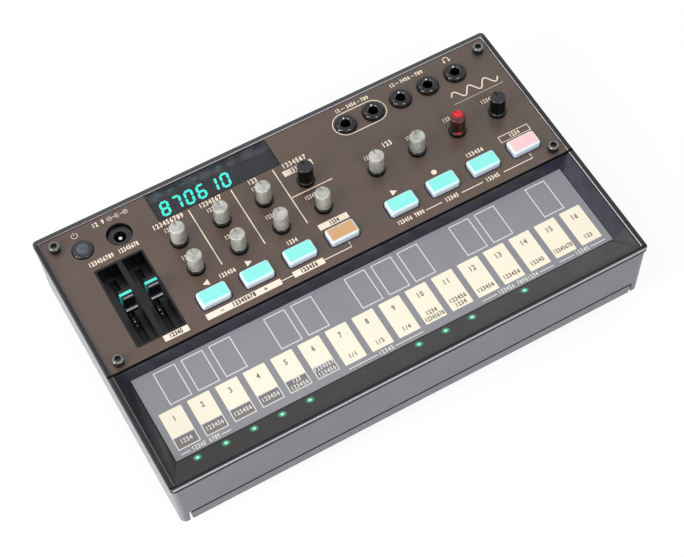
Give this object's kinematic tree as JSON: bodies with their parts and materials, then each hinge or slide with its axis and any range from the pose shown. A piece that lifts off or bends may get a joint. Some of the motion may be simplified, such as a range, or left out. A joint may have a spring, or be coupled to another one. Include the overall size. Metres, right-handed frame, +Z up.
{
  "type": "fm synthesizer",
  "caption": "Compact tabletop synthesizer: bronze control panel with clear knobs, lit buttons and two sliders over a recessed printed touch keyboard.",
  "frame": {"origin": "on the table under the middle of the case, level with the feet's undersides", "axes": "+X to the right as the player sits, +Y away from the player, +Z up"},
  "size_m": [0.1934, 0.1154, 0.045],
  "materials": {
    "smoked_cover": "smoked gloss",
    "grey_shell": "satin",
    "grey_cover": "satin",
    "grey_door": "satin",
    "bronze_panel": "satin anodised",
    "dark_screw": "dark nickel",
    "foot_rubber": "matt",
    "smoked_window": "polished, smoked",
    "display_black": "gloss with lit segments",
    "black_satin": "satin",
    "printed_sheet": "satin, printed",
    "green_board": "solder mask",
    "lamp_clear": "clear, lit",
    "brass_post": "turned",
    "black_gloss": "gloss",
    "steel_case": "pressed",
    "speaker_paper": "matt paper",
    "cell_jacket": "plain jacket",
    "nickel_contact": "bright",
    "cable_grey": "satin",
    "chip_black": "matt",
    "smoked_button": "smoked gloss",
    "red_cap": "dark translucent red",
    "black_cap": "gloss",
    "clear_knob": "clear frosted",
    "milky_button": "milky translucent",
    "cyan_blade": "clear, lit"
  },
  "bodies": {
    "case": {"top_cover": "smoked_cover", "base_shell": "grey_shell", "bottom_cover": "grey_cover", "front_panel": "bronze_panel", "panel_screws": "dark_screw", "case_screws": "dark_screw", "rubber_feet": "foot_rubber", "display_window": "smoked_window", "display_module": "display_black", "slider_bezel": "black_satin", "keyboard_sheet": "printed_sheet", "touch_board": "green_board", "step_lamps": "lamp_clear", "main_board": "green_board", "control_board": "green_board", "board_posts": "brass_post", "pot_bodies": "black_gloss", "slide_pots": "steel_case", "tact_switches": "black_satin", "power_inlet": "black_satin", "speaker_frame": "steel_case", "speaker_cone": "speaker_paper", "battery_cells": "cell_jacket", "battery_contacts": "nickel_contact", "ribbon_cable": "cable_grey", "board_parts": "chip_black", "jack_socket_1": "black_gloss", "jack_socket_2": "black_gloss", "jack_socket_3": "black_gloss", "jack_socket_4": "black_gloss", "jack_socket_5": "black_gloss"},
    "knob_left_back_1": {"knob_left_back_1": "clear_knob"},
    "knob_left_front_1": {"knob_left_front_1": "clear_knob"},
    "knob_left_back_2": {"knob_left_back_2": "clear_knob"},
    "knob_left_front_2": {"knob_left_front_2": "clear_knob"},
    "knob_left_back_3": {"knob_left_back_3": "clear_knob"},
    "knob_left_front_3": {"knob_left_front_3": "clear_knob"},
    "knob_left_back_4": {"knob_left_back_4": "black_cap", "knob_left_back_4_shaft": "clear_knob"},
    "knob_left_front_4": {"knob_left_front_4": "clear_knob"},
    "knob_right_1": {"knob_right_1": "clear_knob"},
    "knob_right_2": {"knob_right_2": "clear_knob"},
    "knob_right_3": {"knob_right_3": "red_cap", "knob_right_3_shaft": "clear_knob"},
    "knob_right_4": {"knob_right_4": "black_cap", "knob_right_4_shaft": "clear_knob"},
    "button_left_1": {"button_left_1": "milky_button"},
    "button_left_2": {"button_left_2": "milky_button"},
    "button_left_3": {"button_left_3": "milky_button"},
    "button_left_4": {"button_left_4": "milky_button"},
    "button_right_1": {"button_right_1": "milky_button"},
    "button_right_2": {"button_right_2": "milky_button"},
    "button_right_3": {"button_right_3": "milky_button"},
    "button_right_4": {"button_right_4": "milky_button"},
    "power_button": {"power_button": "smoked_button"},
    "slider_left": {"slider_cap_left": "black_satin", "slider_blade_left": "cyan_blade"},
    "slider_right": {"slider_cap_right": "black_satin", "slider_blade_right": "cyan_blade"},
    "battery_door": {"battery_door": "grey_door"}
  },
  "joints": [
    {"name": "knob_left_back_1_turn", "type": "hinge", "parent": "case", "child": "knob_left_back_1", "pos_m": [-0.0491, 0.0311, 0.04], "axis": [0, 0, 1], "range_deg": [-150, 150]},
    {"name": "knob_left_front_1_turn", "type": "hinge", "parent": "case", "child": "knob_left_front_1", "pos_m": [-0.0491, 0.0175, 0.04], "axis": [0, 0, 1], "range_deg": [-150, 150]},
    {"name": "knob_left_back_2_turn", "type": "hinge", "parent": "case", "child": "knob_left_back_2", "pos_m": [-0.03152, 0.0311, 0.04], "axis": [0, 0, 1], "range_deg": [-150, 150]},
    {"name": "knob_left_front_2_turn", "type": "hinge", "parent": "case", "child": "knob_left_front_2", "pos_m": [-0.03152, 0.0175, 0.04], "axis": [0, 0, 1], "range_deg": [-150, 150]},
    {"name": "knob_left_back_3_turn", "type": "hinge", "parent": "case", "child": "knob_left_back_3", "pos_m": [-0.01395, 0.0311, 0.04], "axis": [0, 0, 1], "range_deg": [-150, 150]},
    {"name": "knob_left_front_3_turn", "type": "hinge", "parent": "case", "child": "knob_left_front_3", "pos_m": [-0.01395, 0.0175, 0.04], "axis": [0, 0, 1], "range_deg": [-150, 150]},
    {"name": "knob_left_back_4_turn", "type": "hinge", "parent": "case", "child": "knob_left_back_4", "pos_m": [0.00363, 0.0311, 0.04], "axis": [0, 0, 1], "range_deg": [-150, 150]},
    {"name": "knob_left_front_4_turn", "type": "hinge", "parent": "case", "child": "knob_left_front_4", "pos_m": [0.00363, 0.0175, 0.04], "axis": [0, 0, 1], "range_deg": [-150, 150]},
    {"name": "knob_right_1_turn", "type": "hinge", "parent": "case", "child": "knob_right_1", "pos_m": [0.02873, 0.0219, 0.04], "axis": [0, 0, 1], "range_deg": [-150, 150]},
    {"name": "knob_right_2_turn", "type": "hinge", "parent": "case", "child": "knob_right_2", "pos_m": [0.0463, 0.0219, 0.04], "axis": [0, 0, 1], "range_deg": [-150, 150]},
    {"name": "knob_right_3_turn", "type": "hinge", "parent": "case", "child": "knob_right_3", "pos_m": [0.06388, 0.0219, 0.04], "axis": [0, 0, 1], "range_deg": [-150, 150]},
    {"name": "knob_right_4_turn", "type": "hinge", "parent": "case", "child": "knob_right_4", "pos_m": [0.08145, 0.0219, 0.04], "axis": [0, 0, 1], "range_deg": [-150, 150]},
    {"name": "button_left_1_press", "type": "slide", "parent": "case", "child": "button_left_1", "axis": [0, 0, -1], "range_m": [0, 0.0008], "stiffness_N_per_m": 150, "springref_m": -0.0004},
    {"name": "button_left_2_press", "type": "slide", "parent": "case", "child": "button_left_2", "axis": [0, 0, -1], "range_m": [0, 0.0008], "stiffness_N_per_m": 150, "springref_m": -0.0004},
    {"name": "button_left_3_press", "type": "slide", "parent": "case", "child": "button_left_3", "axis": [0, 0, -1], "range_m": [0, 0.0008], "stiffness_N_per_m": 150, "springref_m": -0.0004},
    {"name": "button_left_4_press", "type": "slide", "parent": "case", "child": "button_left_4", "axis": [0, 0, -1], "range_m": [0, 0.0008], "stiffness_N_per_m": 150, "springref_m": -0.0004},
    {"name": "button_right_1_press", "type": "slide", "parent": "case", "child": "button_right_1", "axis": [0, 0, -1], "range_m": [0, 0.0008], "stiffness_N_per_m": 150, "springref_m": -0.0004},
    {"name": "button_right_2_press", "type": "slide", "parent": "case", "child": "button_right_2", "axis": [0, 0, -1], "range_m": [0, 0.0008], "stiffness_N_per_m": 150, "springref_m": -0.0004},
    {"name": "button_right_3_press", "type": "slide", "parent": "case", "child": "button_right_3", "axis": [0, 0, -1], "range_m": [0, 0.0008], "stiffness_N_per_m": 150, "springref_m": -0.0004},
    {"name": "button_right_4_press", "type": "slide", "parent": "case", "child": "button_right_4", "axis": [0, 0, -1], "range_m": [0, 0.0008], "stiffness_N_per_m": 150, "springref_m": -0.0004},
    {"name": "power_button_press", "type": "slide", "parent": "case", "child": "power_button", "axis": [0, 0, -1], "range_m": [0, 0.0008], "stiffness_N_per_m": 150, "springref_m": -0.0004},
    {"name": "slider_left_slide", "type": "slide", "parent": "case", "child": "slider_left", "axis": [0, 1, 0], "range_m": [-0.01, 0.01]},
    {"name": "slider_right_slide", "type": "slide", "parent": "case", "child": "slider_right", "axis": [0, 1, 0], "range_m": [-0.01, 0.01]},
    {"name": "battery_door_slide", "type": "slide", "parent": "case", "child": "battery_door", "axis": [0, -1, 0], "range_m": [0, 0.008]}
  ]
}
